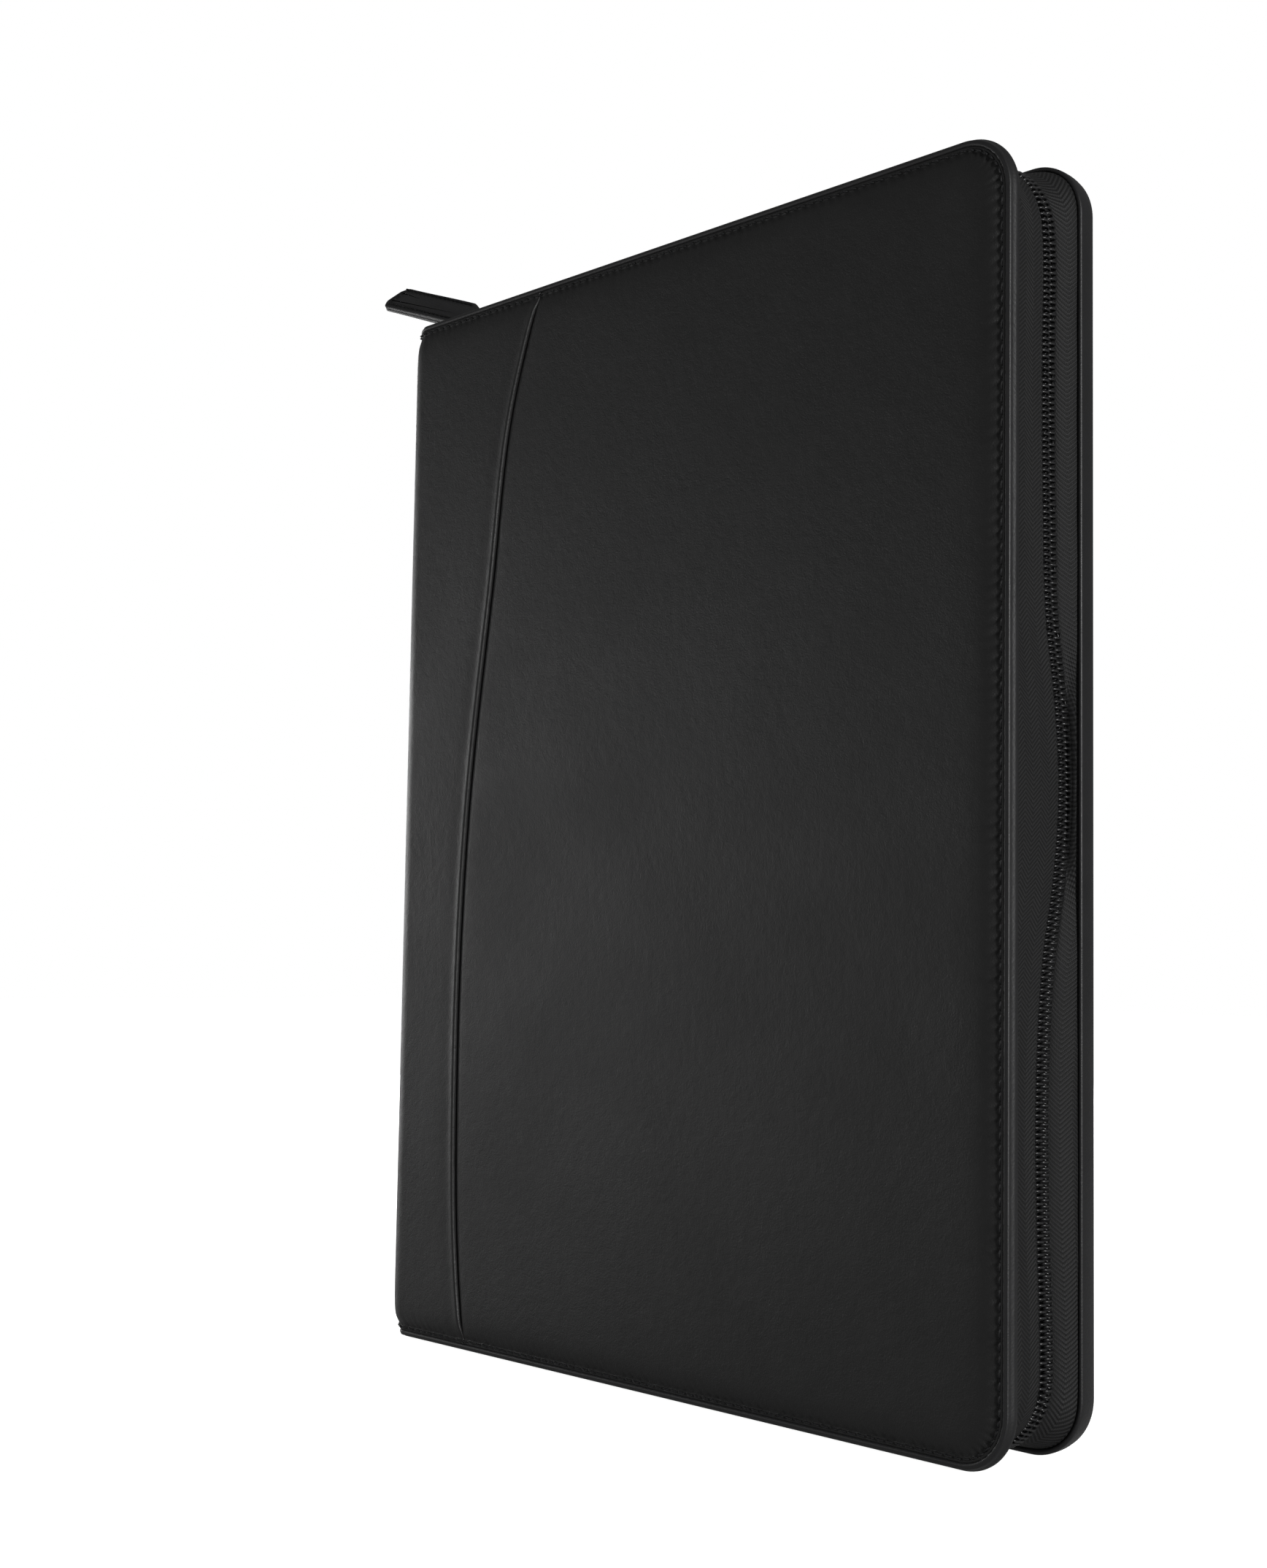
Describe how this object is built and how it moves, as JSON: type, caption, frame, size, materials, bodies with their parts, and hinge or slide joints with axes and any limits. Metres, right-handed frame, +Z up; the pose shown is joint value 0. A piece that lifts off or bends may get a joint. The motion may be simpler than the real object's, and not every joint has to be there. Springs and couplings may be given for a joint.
{
  "type": "portfolio case",
  "caption": "Zip-round padded leather portfolio case for A4 sheets, with folding covers, soft spine, ring mechanism, pockets and a leather pull tab.",
  "frame": {"origin": "middle of the base of the whole case's box, on the surface it stands on", "axes": "+Z up the height of the standing case, +X from the spine to the fore edge, the front cover faces -Y"},
  "size_m": [0.2947, 0.038, 0.3675],
  "materials": {
    "cover_leather": "smooth fine-grained black leather with a soft sheen",
    "edge_leather": "turned black leather edge, slightly glossier",
    "pocket_leather": "thin black pocket leather",
    "tab_leather": "black leather pull tab",
    "thread": "black bonded thread",
    "foam": "thin padding foam",
    "board": "dense grey-brown binder's board",
    "lining_cloth": "fine black lining cloth",
    "zip_tape": "black herringbone woven tape",
    "zip_coil": "glossy black nylon",
    "slider_metal": "black painted zinc",
    "ring_steel": "nickel-plated steel",
    "lever_metal": "nickel-plated steel",
    "elastic": "ribbed black elastic"
  },
  "bodies": {
    "back_cover": {"back_leather": "cover_leather", "back_edge_binding": "edge_leather", "back_edge_stitching": "thread", "back_foam": "foam", "back_board": "board", "back_lining": "lining_cloth", "back_zip_tape": "zip_tape", "back_zip_coil": "zip_coil", "pad_pocket": "pocket_leather"},
    "spine": {"spine_leather": "cover_leather", "spine_board": "board", "spine_lining": "lining_cloth", "ring_base_plate": "ring_steel", "ring_rivets": "ring_steel", "lever_pins": "ring_steel"},
    "front_cover": {"front_panel_leather": "cover_leather", "front_spine_strip": "cover_leather", "front_edge_binding": "edge_leather", "front_edge_stitching": "thread", "front_foam": "foam", "front_board": "board", "front_lining": "lining_cloth", "front_zip_tape": "zip_tape", "front_zip_coil": "zip_coil", "document_pocket": "pocket_leather", "card_pockets": "pocket_leather", "pen_loop": "elastic"},
    "front_rings": {"front_ring_rail": "ring_steel", "front_ring_halves": "ring_steel"},
    "back_rings": {"back_ring_rail": "ring_steel", "back_ring_halves": "ring_steel"},
    "upper_lever": {"upper_ring_lever": "lever_metal"},
    "lower_lever": {"lower_ring_lever": "lever_metal"},
    "slider": {"zip_slider": "slider_metal", "slider_bail": "slider_metal"},
    "pull": {"pull_link": "slider_metal", "pull_tab_face": "tab_leather", "pull_tab_back": "tab_leather", "pull_tab_stitching": "thread"}
  },
  "joints": [
    {"name": "back_hinge", "type": "hinge", "parent": "back_cover", "child": "spine", "pos_m": [-0.10782, 0.01707, 0.17], "axis": [0, 0, -1], "range_deg": [0, 90]},
    {"name": "front_hinge", "type": "hinge", "parent": "spine", "child": "front_cover", "pos_m": [-0.10782, -0.01707, 0.17], "axis": [0, 0, -1], "range_deg": [0, 90]},
    {"name": "zip_slide", "type": "slide", "parent": "back_cover", "child": "slider", "axis": [1, 0, 0], "range_m": [0, 0.205], "deforming": ["front_zip_coil", "back_zip_coil"]},
    {"name": "pull_hinge", "type": "hinge", "parent": "slider", "child": "pull", "pos_m": [-0.09075, 0.0015, 0.3429], "axis": [0, 1, 0], "range_deg": [0, 140]},
    {"name": "front_ring_swing", "type": "hinge", "parent": "spine", "child": "front_rings", "pos_m": [-0.10445, -0.0067, 0.17], "axis": [0, 0, -1], "range_deg": [0, 15]},
    {"name": "back_ring_swing", "type": "hinge", "parent": "spine", "child": "back_rings", "pos_m": [-0.10445, 0.0067, 0.17], "axis": [0, 0, 1], "range_deg": [0, 15]},
    {"name": "upper_lever_turn", "type": "hinge", "parent": "spine", "child": "upper_lever", "pos_m": [-0.10335, 0, 0.3085], "axis": [0, -1, 0], "range_deg": [0, 30]},
    {"name": "lower_lever_turn", "type": "hinge", "parent": "spine", "child": "lower_lever", "pos_m": [-0.10335, 0, 0.0315], "axis": [0, 1, 0], "range_deg": [0, 30]}
  ],
  "couplings": [
    {"joint": "back_ring_swing", "follows": "front_ring_swing", "ratio": 1},
    {"joint": "upper_lever_turn", "follows": "front_ring_swing", "ratio": 2},
    {"joint": "lower_lever_turn", "follows": "front_ring_swing", "ratio": 2}
  ]
}
